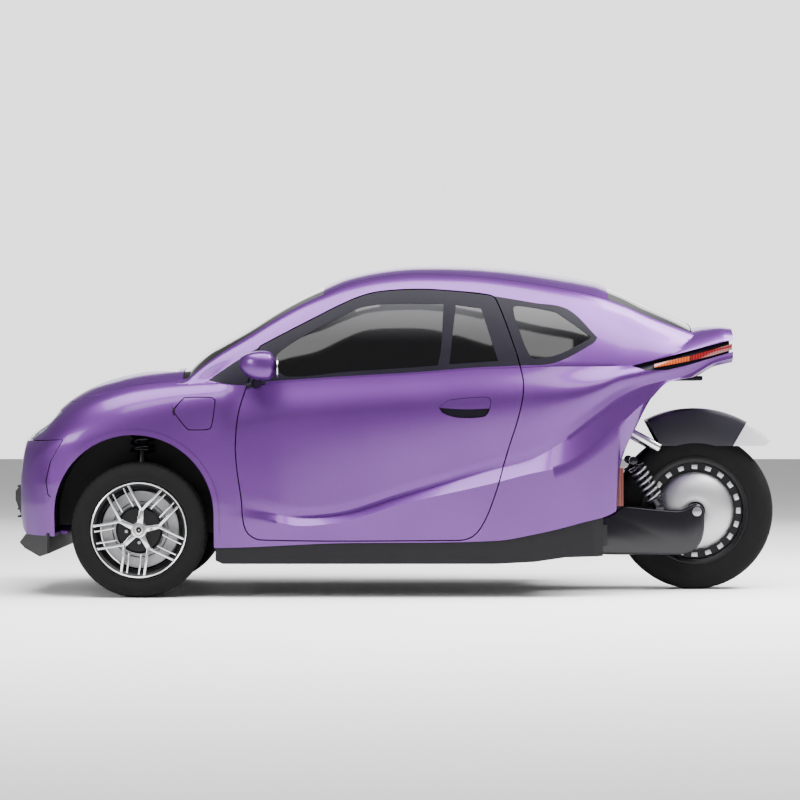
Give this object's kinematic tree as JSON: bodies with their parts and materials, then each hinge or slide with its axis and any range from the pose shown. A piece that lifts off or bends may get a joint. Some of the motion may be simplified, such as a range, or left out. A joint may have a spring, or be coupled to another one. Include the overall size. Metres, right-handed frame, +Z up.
{
  "type": "three wheeled electric car",
  "caption": "Compact three-wheeled electric car with a closed cabin, side doors, steered front wheels and a driven rear wheel on a swing arm under a mudguard.",
  "frame": {"origin": "on the ground under the middle of the car's overall box", "axes": "+X to the rear, +Y to the car's right, +Z up"},
  "size_m": [3.219, 1.7784, 1.3779],
  "materials": {
    "body_paint": "metallic gloss",
    "tinted_glass": "dark tint",
    "black_plastic": "satin",
    "clear_lens": "clear",
    "red_lens": "gloss",
    "painted_steel": "satin",
    "black_steel": "satin",
    "bare_steel": "machined",
    "silver_alloy": "polished",
    "black_alloy": "satin",
    "tyre_rubber": "matt",
    "seat_cloth": "woven"
  },
  "bodies": {
    "car": {"hood": "body_paint", "bumper": "body_paint", "fender_right": "body_paint", "fender_left": "body_paint", "side_right": "body_paint", "side_left": "body_paint", "roof": "body_paint", "rear_panel": "body_paint", "windscreen": "tinted_glass", "back_window": "tinted_glass", "quarter_glass_right": "tinted_glass", "quarter_glass_left": "tinted_glass", "window_trim_right": "black_plastic", "window_trim_left": "black_plastic", "grille": "black_plastic", "front_lip": "black_plastic", "sill_skirts": "black_plastic", "wheel_liners": "black_plastic", "charge_inlet": "black_plastic", "mudguard": "black_plastic", "dashboard": "black_plastic", "headlamps": "clear_lens", "tail_lamps": "red_lens", "marker_strips": "red_lens", "floor_pan": "painted_steel", "battery_pack": "painted_steel", "front_frame": "painted_steel", "rear_frame": "painted_steel", "swing_arm": "black_steel", "shock_absorbers": "black_steel", "mudguard_band": "silver_alloy", "mudguard_tubes": "silver_alloy", "seat_right": "seat_cloth", "seat_left": "seat_cloth", "rear_bench": "seat_cloth"},
    "door_right_body": {"door_right": "body_paint", "door_frame_right": "black_plastic", "door_glass_right": "tinted_glass", "door_handle_right": "body_paint", "mirror_right": "body_paint"},
    "door_left_body": {"door_left": "body_paint", "door_frame_left": "black_plastic", "door_glass_left": "tinted_glass", "door_handle_left": "body_paint", "mirror_left": "body_paint"},
    "flap": {"charge_flap": "body_paint"},
    "hand_wheel": {"steering_wheel": "black_plastic"},
    "upright_right": {"knuckle_right": "bare_steel", "spring_right": "black_steel"},
    "upright_left": {"knuckle_left": "bare_steel", "spring_left": "black_steel"},
    "wheel_right": {"rim_right": "silver_alloy", "tyre_right": "tyre_rubber", "brake_disc_right": "bare_steel"},
    "wheel_left": {"rim_left": "silver_alloy", "tyre_left": "tyre_rubber", "brake_disc_left": "bare_steel"},
    "wheel_rear": {"rim_rear": "black_alloy", "tyre_rear": "tyre_rubber", "hub_motor": "silver_alloy"}
  },
  "joints": [
    {"name": "door_right_hinge", "type": "hinge", "parent": "car", "child": "door_right_body", "pos_m": [-0.6625, 0.711, 0.61], "axis": [0, 0, 1], "range_deg": [0, 62]},
    {"name": "door_left_hinge", "type": "hinge", "parent": "car", "child": "door_left_body", "pos_m": [-0.6625, -0.711, 0.61], "axis": [0, 0, -1], "range_deg": [0, 62]},
    {"name": "charge_flap_hinge", "type": "hinge", "parent": "car", "child": "flap", "pos_m": [-0.914, -0.707, 0.75], "axis": [0, 0, -1], "range_deg": [0, 100]},
    {"name": "steer_left", "type": "hinge", "parent": "car", "child": "upright_left", "pos_m": [-1.058, -0.57, 0.165], "axis": [0, 0.158, 0.9874], "range_deg": [-28, 28]},
    {"name": "steer_right", "type": "hinge", "parent": "car", "child": "upright_right", "pos_m": [-1.058, 0.57, 0.165], "axis": [0, -0.158, 0.9874], "range_deg": [-28, 28]},
    {"name": "hand_wheel_turn", "type": "hinge", "parent": "car", "child": "hand_wheel", "pos_m": [-0.33, -0.3, 0.77], "axis": [0.9063, 0, 0.4226], "range_deg": [-281, 281]},
    {"name": "wheel_left_spin", "type": "hinge", "parent": "upright_left", "child": "wheel_left", "pos_m": [-1.058, -0.635, 0.278], "axis": [0, 1, 0], "continuous": true},
    {"name": "wheel_right_spin", "type": "hinge", "parent": "upright_right", "child": "wheel_right", "pos_m": [-1.058, 0.635, 0.278], "axis": [0, 1, 0], "continuous": true},
    {"name": "wheel_rear_spin", "type": "hinge", "parent": "car", "child": "wheel_rear", "pos_m": [1.273, 0, 0.336], "axis": [0, 1, 0], "continuous": true}
  ],
  "couplings": [
    {"joint": "steer_right", "follows": "steer_left", "ratio": 1},
    {"joint": "hand_wheel_turn", "follows": "steer_left", "ratio": 10}
  ]
}
